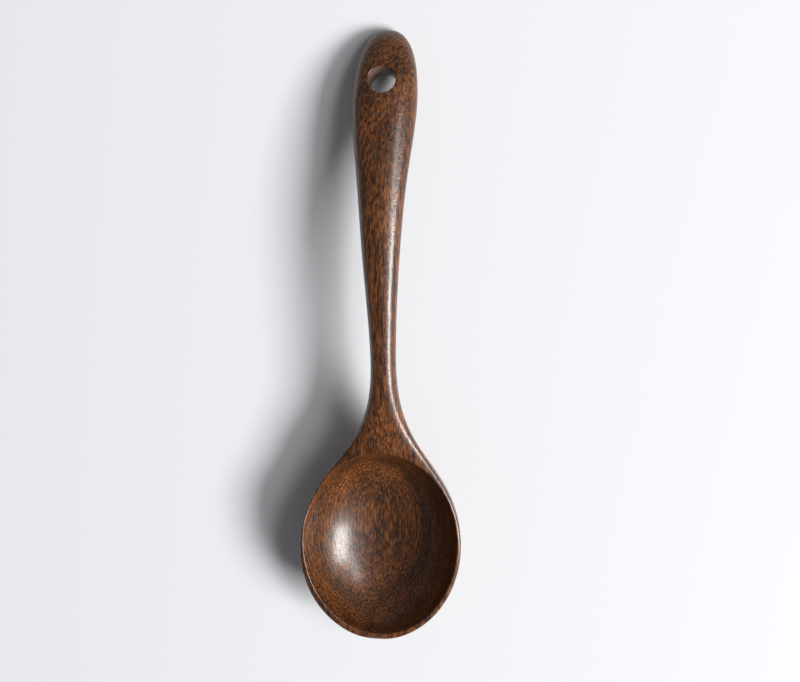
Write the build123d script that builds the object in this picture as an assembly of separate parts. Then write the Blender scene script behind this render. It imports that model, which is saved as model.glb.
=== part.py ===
from build123d import *
import os
from math import asin, atan, cos, degrees, pi, sqrt, tan

# A wooden spoon, carved from one piece of wood and lying at rest with its bowl open upwards.
# Millimetres. While it is shaped, X runs from the front of the bowl to the end of the handle,
# Y across it, and Z up, with the rim of the bowl level. It ends laid down on Z = 0, on its bowl
# and the end of its handle, centred on its own box.

# Bowl: an oval outside, which the shoulders leave before it closes behind
bowl_length = 79
bowl_width = 64.8
bowl_depth = 24
lip_height = 2

# Hollow of the bowl, with its edge rounded over, which reaches a little past the oval behind. It is
# the lower part of an ellipsoid whose middle lies above the rim by wall_rise, so that its walls lean
# out a little at the rim
front_lip = 3
side_lip = 1.4
back_reach = 1.4
floor_thickness = 4.5
wall_rise = 4
lip_rounding = 0.6

# Neck, at its narrowest, behind the oval of the bowl
neck_run = 48
neck_width = 10.2
neck_thickness = 9

# Grip, at its widest, and the rounded end behind it
grip_run = 86.5
grip_width = 24.1
grip_thickness = 14.2
end_run = 26.5

# Arch of the handle, a round arc from the neck to the end
arch_radius = 240
arch_rise = 5.8
arch_top_run = 15

# Hanging hole, square to the sloping face of the grip and a little off its middle
hole_diameter = 10
hole_to_end = 19.1
hole_offset = 0.85
hole_rounding = 0.5

# How far the hand-carved neck stands to one side of the line through bowl and grip
neck_sway = 1.2

# How far the spoon tips back as it lies, until the end of its handle touches the table, in degrees
rest_tilt = 1.9

# One overrun for every cut
overrun = 5

# From the middle of the bowl to the neck: how far along, and how much of the change in half
# width, depth below the widest line, height above it, and height of that line is still to come
shoulder_shares = (
    (0.246, 0.828, 0.800, 1.00, 1.00),
    (0.399, 0.477, 0.333, 0.88, 1.00),
    (0.542, 0.148, 0.087, 0.40, 0.80),
    (0.686, 0.044, 0.015, 0.10, 0.42),
)

# From the neck to the grip: how far along, and how much of the width and thickness is gained
handle_shares = ((0.401, 0.335), (0.740, 0.700))

# Places along the spoon, and how much of the neck's sway its middle has there, to the other side
sway_shares = ((0.0, 1.0), (0.165, 0.38), (0.415, -1.1), (0.67, 0.12), (1.0, 0.25))

# Shape of half a cross-section, as shares of its height and half width: how high its side
# stands before it turns, and how wide its crown stays
rim_shares = (1.4, 0.7)
wood_shares = (0.76, 0.55)

# How full the rounded end is: 2 is an oval, more is squarer
end_power = 2.4

# Where the ends are cut across, as shares of a quarter turn and of the end's length
front_turn_shares = (0.05, 0.11, 0.18, 0.26, 0.35, 0.46, 0.60, 0.78)
end_shares = (0.25, 0.45, 0.62, 0.76, 0.87, 0.95, 0.99)

bowl_middle = bowl_length / 2
hollow_length = bowl_length - front_lip + back_reach
hollow_width = bowl_width - 2 * side_lip
hollow_depth = bowl_depth + lip_height - floor_thickness
neck_place = bowl_length + neck_run
grip_place = neck_place + grip_run
overall_length = grip_place + end_run
shoulder_run = neck_place - bowl_middle
arch_top = neck_place + arch_top_run


def arch_height(place):
    """Height of the handle's middle line, on its arch."""
    fall = arch_radius - sqrt(arch_radius**2 - (place - arch_top) ** 2)
    return bowl_depth + arch_rise - fall


def arch_fall(place):
    """Angle at which the handle falls away towards its end, in radians."""
    return asin((place - arch_top) / arch_radius)


def drawn_line(points, end_slope=0):
    """A smooth line through points of (place, size), level at its start, running evenly with place."""
    start = points[0][0]
    run = points[-1][0] - start
    shares = [(place - start) / run for place, size in points]
    return Edge.make_spline(points, [(run, 0), (run, run * end_slope)], parameters=shares, scale=False)


def reading(line, place):
    """The size that a drawn line gives at a place along the spoon."""
    start = (line @ 0).X
    run = (line @ 1).X - start
    return (line @ ((place - start) / run)).Y


def shoulder_points(at_bowl, at_neck, column):
    """Points of a line from the middle of the bowl to the neck."""
    points = [(bowl_middle, at_bowl)]
    for row in shoulder_shares:
        points.append((bowl_middle + row[0] * shoulder_run, at_neck + row[column] * (at_bowl - at_neck)))
    points.append((neck_place, at_neck))
    return points


def handle_points(at_neck, at_grip):
    """Points of a line from behind the neck to the grip."""
    points = []
    for along, gained in handle_shares:
        points.append((neck_place + along * grip_run, at_neck + gained * (at_grip - at_neck)))
    points.append((grip_place, at_grip))
    return points


def size_line(at_bowl, at_neck, at_grip, column):
    """A half width, depth or height along the spoon, level at the bowl's middle and the grip."""
    return drawn_line(shoulder_points(at_bowl, at_neck, column) + handle_points(at_neck, at_grip))


def level_line():
    """Height of the spoon's widest line: level along the bowl, then up onto the arch."""
    points = shoulder_points(bowl_depth, arch_height(neck_place), 4)
    for along, _ in handle_shares + ((1, 1),):
        place = neck_place + along * grip_run
        points.append((place, arch_height(place)))
    points.append((overall_length, arch_height(overall_length)))
    return drawn_line(points, -tan(arch_fall(overall_length)))


def sway_line():
    """How far the middle of the spoon stands to one side."""
    return drawn_line([(along * overall_length, share * neck_sway) for along, share in sway_shares])


half_width_line = size_line(bowl_width / 2, neck_width / 2, grip_width / 2, 1)
depth_line = size_line(bowl_depth, neck_thickness / 2, grip_thickness / 2, 2)
height_line = size_line(lip_height, neck_thickness / 2, grip_thickness / 2, 3)
rim_line = size_line(1, 0, 0, 3)
widest_line = level_line()
middle_line = sway_line()


def front_closing(place, run):
    """Share of the full size that is left near the front, on an oval."""
    return sqrt(1 - (1 - min(place / run, 1)) ** 2)


def end_closing(place):
    """Share of the full size that is left near the end of the handle."""
    past = max(place - grip_place, 0) / end_run
    return (1 - past**end_power) ** (1 / end_power)


def half_section(centre, half_width, height, shares):
    """Half of a cross-section, from one edge over its crown to the other edge.

    The middle of such a curve lies at 10 parts of its side and 20 of its crown in 32, so the
    crown is set to bring it to the full height.
    """
    side, spread = shares
    crown = (32 - 10 * side) / 20
    corners = ((1, 0), (1, side), (spread, crown), (-spread, crown), (-1, side), (-1, 0))
    return Bezier(*[centre + Vector(0, across * half_width, up * height) for across, up in corners])


def middle_point(place):
    """Middle of the spoon's widest line at a place along it."""
    level = bowl_depth
    if place > bowl_middle:
        level = reading(widest_line, place)
    return Vector(place, reading(middle_line, place), level)


def section(place):
    """The spoon cut across at a place along it, with the bowl still full."""
    on_spline = min(max(place, bowl_middle), grip_place)
    front = front_closing(place, bowl_middle)
    end = end_closing(place)
    half_width = reading(half_width_line, on_spline) * front * end
    depth = reading(depth_line, on_spline) * front * end
    height = reading(height_line, on_spline) * front_closing(place, front_lip) * end
    rim = reading(rim_line, on_spline)
    top_shares = [wood + rim * (lip - wood) for wood, lip in zip(wood_shares, rim_shares)]
    top = half_section(middle_point(place), half_width, height, top_shares)
    bottom = half_section(middle_point(place), half_width, -depth, wood_shares)
    return Face(Wire([top, bottom]))


def carved_blank():
    """The whole spoon before its bowl is hollowed and its hole is drilled."""
    places = [bowl_middle * (1 - cos(turn * pi / 2)) for turn in front_turn_shares + (1,)]
    for row in shoulder_shares:
        places.append(bowl_middle + row[0] * shoulder_run)
    places.append(neck_place)
    for along, _ in handle_shares:
        places.append(neck_place + along * grip_run)
    places.append(grip_place)
    for along in end_shares:
        places.append(grip_place + along * end_run)
    front = Vertex(*middle_point(0))
    end = Vertex(*middle_point(overall_length))
    return loft([front] + [section(place) for place in places] + [end])


def hollow():
    """The inside of the bowl, open above the rim."""
    full_depth = hollow_depth + wall_rise
    at_rim_share = sqrt(1 - (wall_rise / full_depth) ** 2)
    radii = (hollow_length / 2 / at_rim_share, hollow_width / 2 / at_rim_share, full_depth)
    along = front_lip + hollow_length / 2
    turn = atan((middle_point(bowl_length).Y - middle_point(0).Y) / bowl_length)
    centre = Pos(along, middle_point(along).Y, bowl_depth + lip_height + wall_rise)
    return centre * Rot(0, 0, degrees(turn)) * scale(Sphere(1), by=radii)


def hanging_hole():
    """The drill for the hanging hole, square to the handle where it passes through."""
    place = overall_length - hole_to_end
    drill = Cylinder(hole_diameter / 2, grip_thickness + overrun * 2)
    square = Rot(0, degrees(arch_fall(place)), 0)
    return Pos(*middle_point(place)) * square * Pos(0, hole_offset, 0) * drill


def rounded(solid, first_place, last_place, radius):
    """The solid with the closed edges between two places along it rounded over."""
    closed = solid.edges().filter_by(lambda edge: edge.is_closed)
    return fillet(closed.filter_by_position(Axis.X, first_place, last_place), radius)


def laid_down(solid):
    """The solid lying on Z = 0, with its box centred on the origin."""
    tipped = Rot(0, rest_tilt, 0) * solid
    box = tipped.bounding_box()
    return Pos(-box.center().X, -box.center().Y, -box.min.Z) * tipped


spoon = carved_blank() - hollow() - hanging_hole()
spoon = rounded(spoon, 0, neck_place, lip_rounding)
spoon = rounded(spoon, neck_place, overall_length, hole_rounding)
spoon = laid_down(spoon)

os.makedirs("parts", exist_ok=True)
export_step(spoon, "parts/spoon.step")
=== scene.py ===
from math import cos, pi, radians, sin

import bmesh
import bpy
from mathutils import Matrix, Vector


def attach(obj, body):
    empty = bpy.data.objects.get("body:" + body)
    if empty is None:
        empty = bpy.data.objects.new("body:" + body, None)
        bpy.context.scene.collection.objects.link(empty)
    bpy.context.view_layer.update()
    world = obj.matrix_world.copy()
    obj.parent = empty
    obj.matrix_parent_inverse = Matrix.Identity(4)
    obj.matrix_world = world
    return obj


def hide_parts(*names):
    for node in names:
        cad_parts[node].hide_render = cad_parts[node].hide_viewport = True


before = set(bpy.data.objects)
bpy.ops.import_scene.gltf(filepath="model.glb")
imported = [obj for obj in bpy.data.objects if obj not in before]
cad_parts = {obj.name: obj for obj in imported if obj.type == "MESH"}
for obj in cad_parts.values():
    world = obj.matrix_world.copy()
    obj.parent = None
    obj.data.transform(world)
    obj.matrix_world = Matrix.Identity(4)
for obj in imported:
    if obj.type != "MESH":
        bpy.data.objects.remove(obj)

scene = bpy.context.scene
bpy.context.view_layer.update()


# The spoon: one piece of dark, straight-grained hardwood, carved and sanded smooth by hand, then
# rubbed with oil until it has a satin gloss. It is the CAD's shape with what the hand leaves on
# it: slight waves along the wood, and two small nicks on the grip.
weld_distance = 1e-6
wave_depth = 0.00012
wave_length = 0.016
wave_stretch = 2.5
wave_seed = 7.0
nick_places = (Vector((0.0688, -0.0062, 0.0252)), Vector((0.0668, -0.0057, 0.0256)))
nick_radius = 0.0006
nick_depth = 0.0001


def add_node(tree, kind, inputs=(), **settings):
    """A new node with its settings, and its inputs given as values or as sockets to link."""
    made = tree.nodes.new(kind)
    for name, value in settings.items():
        setattr(made, name, value)
    for key, value in dict(inputs).items():
        if isinstance(value, bpy.types.NodeSocket):
            tree.links.new(value, made.inputs[key])
        else:
            made.inputs[key].default_value = value
    return made


def welded_copy(cad_object, name):
    """The CAD node's mesh as a new object, with its loose triangles joined and shaded smooth."""
    mesh = bpy.data.meshes.new(name)
    work = bmesh.new()
    work.from_mesh(cad_object.data)
    bmesh.ops.remove_doubles(work, verts=work.verts, dist=weld_distance)
    work.to_mesh(mesh)
    work.free()
    for attribute in [a for a in mesh.attributes if a.name == "custom_normal"]:
        mesh.attributes.remove(attribute)
    mesh.materials.clear()
    mesh.polygons.foreach_set("use_smooth", [True] * len(mesh.polygons))
    made = bpy.data.objects.new(name, mesh)
    scene.collection.objects.link(made)
    return made


def hand_finish_tree():
    """Geometry nodes that lower a surface in soft waves, stretched along the grain, and in nicks."""
    tree = bpy.data.node_groups.new("Hand finish", "GeometryNodeTree")
    face = tree.interface
    face.new_socket("Geometry", in_out="INPUT", socket_type="NodeSocketGeometry")
    for name in ("Wave depth", "Wave length", "Wave stretch", "Seed", "Nick radius", "Nick depth"):
        face.new_socket(name, in_out="INPUT", socket_type="NodeSocketFloat")
    face.new_socket("Material", in_out="INPUT", socket_type="NodeSocketMaterial")
    face.new_socket("Geometry", in_out="OUTPUT", socket_type="NodeSocketGeometry")
    given = tree.nodes.new("NodeGroupInput").outputs

    place = add_node(tree, "GeometryNodeInputPosition").outputs[0]
    stretch = add_node(tree, "ShaderNodeMath", {0: 1.0, 1: given["Wave stretch"]}, operation="DIVIDE")
    squeeze = add_node(tree, "ShaderNodeCombineXYZ", {"X": stretch.outputs[0], "Y": 1.0, "Z": 1.0})
    along = add_node(tree, "ShaderNodeVectorMath", {0: place, 1: squeeze.outputs[0]},
                     operation="MULTIPLY")
    scale = add_node(tree, "ShaderNodeMath", {0: 1.0, 1: given["Wave length"]}, operation="DIVIDE")
    waves = add_node(tree, "ShaderNodeTexNoise", {"Vector": along.outputs[0], "W": given["Seed"],
                                                  "Scale": scale.outputs[0], "Detail": 1.0},
                     noise_dimensions="4D")
    lowered = add_node(tree, "ShaderNodeMath", {0: waves.outputs["Fac"], 1: given["Wave depth"]},
                       operation="MULTIPLY").outputs[0]
    for nick_place in nick_places:
        apart = add_node(tree, "ShaderNodeVectorMath", {0: place, 1: nick_place}, operation="DISTANCE")
        share = add_node(tree, "ShaderNodeMapRange", {"Value": apart.outputs["Value"],
                                                      "From Max": given["Nick radius"],
                                                      "To Min": 1.0, "To Max": 0.0},
                         interpolation_type="SMOOTHSTEP")
        lowered = add_node(tree, "ShaderNodeMath", {0: share.outputs[0], 1: given["Nick depth"],
                                                    2: lowered},
                           operation="MULTIPLY_ADD").outputs[0]
    inward = add_node(tree, "ShaderNodeMath", {0: lowered, 1: -1.0}, operation="MULTIPLY")
    normal = add_node(tree, "GeometryNodeInputNormal").outputs[0]
    shift = add_node(tree, "ShaderNodeVectorMath", {0: normal, "Scale": inward.outputs[0]},
                     operation="SCALE")
    moved = add_node(tree, "GeometryNodeSetPosition", {"Geometry": given["Geometry"],
                                                       "Offset": shift.outputs[0]})
    real = add_node(tree, "GeometryNodeRealizeInstances", {"Geometry": moved.outputs[0]})
    painted = add_node(tree, "GeometryNodeSetMaterial", {"Geometry": real.outputs[0],
                                                         "Material": given["Material"]})
    add_node(tree, "NodeGroupOutput", {"Geometry": painted.outputs[0]})
    return tree


def plain_mesh(piece, tree, values):
    """The piece with a node tree's result as its own mesh. Values are by the inputs' names."""
    modifier = piece.modifiers.new(tree.name, "NODES")
    modifier.node_group = tree
    for item in tree.interface.items_tree:
        if item.in_out == "INPUT" and item.name in values:
            modifier[item.identifier] = values[item.name]
    bpy.context.view_layer.update()
    finished = piece.evaluated_get(bpy.context.evaluated_depsgraph_get())
    mesh = bpy.data.meshes.new_from_object(finished)
    piece.modifiers.remove(modifier)
    piece.data = mesh
    return piece


def srgb(red, green, blue):
    """A colour as it looks on a screen, from 0 to 255, as the shader wants it."""
    linear = [((c / 255 + 0.055) / 1.055) ** 2.4 for c in (red, green, blue)]
    return (*linear, 1.0)


def streak_group():
    """Masks of short dark or light dashes that lie along the grain, cut through wherever carved."""
    tree = bpy.data.node_groups.new("Streaks along the grain", "ShaderNodeTree")
    tree.interface.new_socket("Place", in_out="INPUT", socket_type="NodeSocketVector")
    for name in ("Length", "Width", "Threshold", "Softness", "Seed"):
        tree.interface.new_socket(name, in_out="INPUT", socket_type="NodeSocketFloat")
    tree.interface.new_socket("Mask", in_out="OUTPUT", socket_type="NodeSocketFloat")
    given = tree.nodes.new("NodeGroupInput").outputs
    size = add_node(tree, "ShaderNodeCombineXYZ", {"X": given["Length"], "Y": given["Width"],
                                                   "Z": given["Width"]})
    shrunk = add_node(tree, "ShaderNodeVectorMath", {0: given["Place"], 1: size.outputs[0]},
                      operation="DIVIDE")
    noise = add_node(tree, "ShaderNodeTexNoise", {"Vector": shrunk.outputs[0], "W": given["Seed"],
                                                  "Scale": 1.0, "Detail": 1.0, "Roughness": 0.5},
                     noise_dimensions="4D")
    end = add_node(tree, "ShaderNodeMath", {0: given["Threshold"], 1: given["Softness"]},
                   operation="ADD")
    mask = add_node(tree, "ShaderNodeMapRange", {"Value": noise.outputs["Fac"],
                                                 "From Min": given["Threshold"],
                                                 "From Max": end.outputs[0]},
                    interpolation_type="SMOOTHSTEP")
    add_node(tree, "NodeGroupOutput", {"Mask": mask.outputs[0]})
    return tree


def oiled_wood():
    """Dark hardwood with thin layers of light and dark wood, fine open pores and a satin finish.

    All its patterns are solid: they go through the wood, so each carved face cuts them its own
    way. Lengths in it are millimetres, but for the depth of the relief, and a grain is its size
    along X, Y and Z.
    """
    pale = srgb(142, 84, 40)
    warm = srgb(92, 47, 18)
    olive = srgb(84, 51, 24)
    deep = srgb(38, 17, 6)
    darkest = srgb(18, 8, 3)
    millimetres = 1000.0
    heart = (0.0, 22.0, -70.0)
    lengthwise_share = 0.06
    bend_grain = (70.0, 18.0, 18.0)
    bend_depth = 7.0
    ripple_grain = (3.6, 1.5, 1.5)
    ripple_depth = 1.9
    layer_pitch = 1.25
    layer_edge = 0.7
    fade_grain = (22.0, 6.0, 6.0)
    fade_swing = 1.6
    fade_middle = 0.75
    fade_least = 0.2
    zone_pitch = 9.0
    zone_swing = 0.25
    zone_middle = 0.5
    zone_grain = (90.0, 5.0, 5.0)
    zone_drift = 1.8
    line_strength = 0.7
    fibre_strength = 0.72
    pore_strength = 0.85
    fleck_strength = 0.5
    satin_roughness = 0.36
    pore_roughness = 0.18
    rubbed_grain = (14.0, 4.0, 4.0)
    rubbed_swing = 0.12
    pore_height = -1.0
    fibre_height = -0.35
    layer_height = -0.25
    relief_strength = 0.35
    relief_depth = 0.00006
    refraction = 1.48
    oil_weight = 0.5
    oil_roughness = 0.2

    material = bpy.data.materials.new("Oiled hardwood")
    material.use_nodes = True
    tree = material.node_tree
    tree.nodes.clear()
    streaks = streak_group()

    def noise(place, grain, detail=2.0):
        """Noise from -0.5 to 0.5 with a grain size along X, Y and Z."""
        shrunk = add_node(tree, "ShaderNodeVectorMath", {0: place, 1: grain}, operation="DIVIDE")
        made = add_node(tree, "ShaderNodeTexNoise", {"Vector": shrunk.outputs[0], "Scale": 1.0,
                                                     "Detail": detail, "Roughness": 0.5})
        return add_node(tree, "ShaderNodeMath", {0: made.outputs["Fac"], 1: 0.5},
                        operation="SUBTRACT").outputs[0]

    def maths(operation, first, second=0.0, third=0.0):
        """The result of one maths node."""
        return add_node(tree, "ShaderNodeMath", {0: first, 1: second, 2: third},
                        operation=operation).outputs[0]

    def dashes(length, width, threshold, softness, seed):
        """The mask of one kind of dash. A higher threshold leaves fewer of them."""
        made = add_node(tree, "ShaderNodeGroup", node_tree=streaks)
        tree.links.new(place, made.inputs["Place"])
        for name, value in (("Length", length), ("Width", width), ("Threshold", threshold),
                            ("Softness", softness), ("Seed", seed)):
            made.inputs[name].default_value = value
        return made.outputs["Mask"]

    def blended(factor, first, second):
        """The first colour, turned into the second one as far as the factor says."""
        made = add_node(tree, "ShaderNodeMix", data_type="RGBA")
        first_colour, second_colour, result = made.inputs[6], made.inputs[7], made.outputs[2]
        for socket, value in ((made.inputs["Factor"], factor), (first_colour, first),
                              (second_colour, second)):
            if isinstance(value, bpy.types.NodeSocket):
                tree.links.new(value, socket)
            else:
                socket.default_value = value
        return result

    coordinates = add_node(tree, "ShaderNodeTexCoord").outputs["Object"]
    place = add_node(tree, "ShaderNodeVectorMath", {0: coordinates, "Scale": millimetres},
                     operation="SCALE").outputs[0]

    from_heart = add_node(tree, "ShaderNodeVectorMath", {0: place, 1: heart}, operation="SUBTRACT")
    across = add_node(tree, "ShaderNodeVectorMath", {0: from_heart.outputs[0],
                                                     1: (lengthwise_share, 1.0, 1.0)},
                      operation="MULTIPLY")
    radius = add_node(tree, "ShaderNodeVectorMath", {0: across.outputs[0]},
                      operation="LENGTH").outputs["Value"]
    radius = maths("MULTIPLY_ADD", noise(place, bend_grain), bend_depth, radius)
    radius = maths("MULTIPLY_ADD", noise(place, ripple_grain, detail=1.0), ripple_depth, radius)

    turn = maths("MULTIPLY", radius, 2 * pi / layer_pitch)
    layers = add_node(tree, "ShaderNodeMapRange", {"Value": maths("SINE", turn),
                                                   "From Min": -layer_edge,
                                                   "From Max": layer_edge}).outputs[0]
    fade = maths("MULTIPLY_ADD", noise(place, fade_grain), fade_swing, fade_middle)
    fade = add_node(tree, "ShaderNodeClamp", {"Value": fade, "Min": fade_least,
                                              "Max": 1.0}).outputs[0]
    zone_turn = maths("MULTIPLY", radius, 2 * pi / zone_pitch)
    zones = maths("MULTIPLY_ADD", maths("SINE", zone_turn), zone_swing, zone_middle)
    zones = maths("MULTIPLY_ADD", noise(place, zone_grain), zone_drift, zones)
    zones = add_node(tree, "ShaderNodeClamp", {"Value": zones}).outputs[0]

    light_wood = blended(zones, olive, pale)
    mid_wood = blended(zones, deep, warm)
    layered = blended(maths("MULTIPLY", layers, fade), light_wood, mid_wood)
    lines = dashes(length=26.0, width=0.8, threshold=0.54, softness=0.06, seed=3.0)
    lined = blended(maths("MULTIPLY", lines, line_strength), layered, deep)
    fibres = dashes(length=6.0, width=0.5, threshold=0.51, softness=0.08, seed=11.0)
    fibred = blended(maths("MULTIPLY", fibres, fibre_strength), lined, deep)
    pores = dashes(length=4.0, width=0.36, threshold=0.58, softness=0.05, seed=19.0)
    pored = blended(maths("MULTIPLY", pores, pore_strength), fibred, darkest)
    flecks = dashes(length=4.2, width=0.5, threshold=0.57, softness=0.06, seed=29.0)
    flecked = blended(maths("MULTIPLY", flecks, fleck_strength), pored, pale)
    # The two nicks are painted in the darkest colour: painted shade in their small hollows.
    nick_shade = 0.0
    for nick_place in nick_places:
        apart = add_node(tree, "ShaderNodeVectorMath", {0: coordinates, 1: nick_place},
                         operation="DISTANCE")
        near = add_node(tree, "ShaderNodeMapRange", {"Value": apart.outputs["Value"],
                                                     "From Max": nick_radius, "To Min": 1.0,
                                                     "To Max": 0.0})
        nick_shade = maths("MAXIMUM", near.outputs[0], nick_shade)
    colour = blended(nick_shade, flecked, darkest)

    rough = maths("MULTIPLY_ADD", pores, pore_roughness, satin_roughness)
    rough = maths("MULTIPLY_ADD", noise(place, rubbed_grain), rubbed_swing, rough)
    height = maths("MULTIPLY_ADD", pores, pore_height, maths("MULTIPLY", layers, layer_height))
    height = maths("MULTIPLY_ADD", fibres, fibre_height, height)
    relief = add_node(tree, "ShaderNodeBump", {"Strength": relief_strength, "Distance": relief_depth,
                                               "Height": height})
    surface = add_node(tree, "ShaderNodeBsdfPrincipled", {
        "Base Color": colour, "Roughness": rough, "Normal": relief.outputs[0], "IOR": refraction,
        "Coat Weight": oil_weight, "Coat Roughness": oil_roughness, "Coat IOR": refraction})
    add_node(tree, "ShaderNodeOutputMaterial", {"Surface": surface.outputs[0]})
    return material


spoon = welded_copy(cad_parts["spoon"], "carved_spoon")
wood = oiled_wood()
plain_mesh(spoon, hand_finish_tree(), {
    "Wave depth": wave_depth, "Wave length": wave_length, "Wave stretch": wave_stretch,
    "Seed": wave_seed, "Nick radius": nick_radius, "Nick depth": nick_depth, "Material": wood})
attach(spoon, "root")
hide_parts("spoon")


# The floor: one large pale sheet that the spoon lies on, bright to the camera, which keeps the
# spoon's soft shadow.
floor_reach = 6.0
floor_colour = (0.84, 0.85, 0.87, 1.0)
floor_roughness = 0.9
floor_gloss = 0.1


def pale_floor():
    """A plain, matt, nearly white floor."""
    mesh = bpy.data.meshes.new("floor")
    corners = [(x * floor_reach, y * floor_reach, 0.0) for x, y in ((-1, -1), (1, -1), (1, 1), (-1, 1))]
    mesh.from_pydata(corners, [], [(0, 1, 2, 3)])
    floor = bpy.data.objects.new("floor", mesh)
    scene.collection.objects.link(floor)
    material = bpy.data.materials.new("Pale floor")
    material.use_nodes = True
    surface = material.node_tree.nodes["Principled BSDF"]
    surface.inputs["Base Color"].default_value = floor_colour
    surface.inputs["Roughness"].default_value = floor_roughness
    surface.inputs["Specular IOR Level"].default_value = floor_gloss
    mesh.materials.append(material)
    return floor


pale_floor()


# The light: a broad window to the right of the spoon, a fainter one higher up towards the end of
# its handle, and the soft light of a pale room from all round.
lamp_distance = 3.2
window_direction = (-104, 40)
window_size = (1.52, 1.06)
window_power = 123.0
skylight_direction = (-68, 54)
skylight_size = (1.44, 0.64)
skylight_power = 23.0
room_colour = (0.94, 0.96, 1.0, 1.0)
room_strength = 0.13


def add_lamp(name, direction, size, power):
    """A soft area light that faces the spoon from an azimuth and a height in degrees."""
    azimuth, height = (radians(angle) for angle in direction)
    lamp = bpy.data.lights.new(name, "AREA")
    lamp.shape = "RECTANGLE"
    lamp.size, lamp.size_y = size
    lamp.energy = power
    made = bpy.data.objects.new(name, lamp)
    towards = Vector((cos(azimuth) * cos(height), sin(azimuth) * cos(height), sin(height)))
    made.location = towards * lamp_distance
    made.rotation_mode = "QUATERNION"
    made.rotation_quaternion = (-towards).to_track_quat("-Z", "Y")
    scene.collection.objects.link(made)


def light_room():
    """An even, nearly white light from all round."""
    world = bpy.data.worlds.new("Pale room")
    world.use_nodes = True
    background = world.node_tree.nodes["Background"]
    background.inputs["Color"].default_value = room_colour
    background.inputs["Strength"].default_value = room_strength
    scene.world = world


add_lamp("window", window_direction, window_size, window_power)
add_lamp("skylight", skylight_direction, skylight_size, skylight_power)
light_room()


# The camera: above the spoon and leaning towards the end of its handle, as in the photograph.
sensor_width = 36.0
picture_width = 800
focal_pixels = 1240
lean_to_handle = radians(16.58)
lean_to_side = radians(6.44)
roll = radians(0.39)
aim = Vector((0.0052, -0.0071, 0.0200))
camera_distance = 0.4734


def add_camera():
    """The camera, aimed at a point above the floor, with the handle's end up in the picture."""
    away = Vector((sin(lean_to_handle), -sin(lean_to_side) * cos(lean_to_handle),
                   cos(lean_to_side) * cos(lean_to_handle)))
    away.normalize()
    right = (-away).cross(Vector((1, 0, 0))).normalized()
    up = right.cross(-away)
    turned_right = cos(roll) * right + sin(roll) * up
    turned_up = -sin(roll) * right + cos(roll) * up
    data = bpy.data.cameras.new("camera")
    data.sensor_width = sensor_width
    data.lens = sensor_width * focal_pixels / picture_width
    camera = bpy.data.objects.new("camera", data)
    turn = Matrix((turned_right, turned_up, away)).transposed()
    camera.matrix_world = Matrix.Translation(aim + away * camera_distance) @ turn.to_4x4()
    scene.collection.objects.link(camera)
    scene.camera = camera


add_camera()
scene.view_settings.view_transform = "Standard"
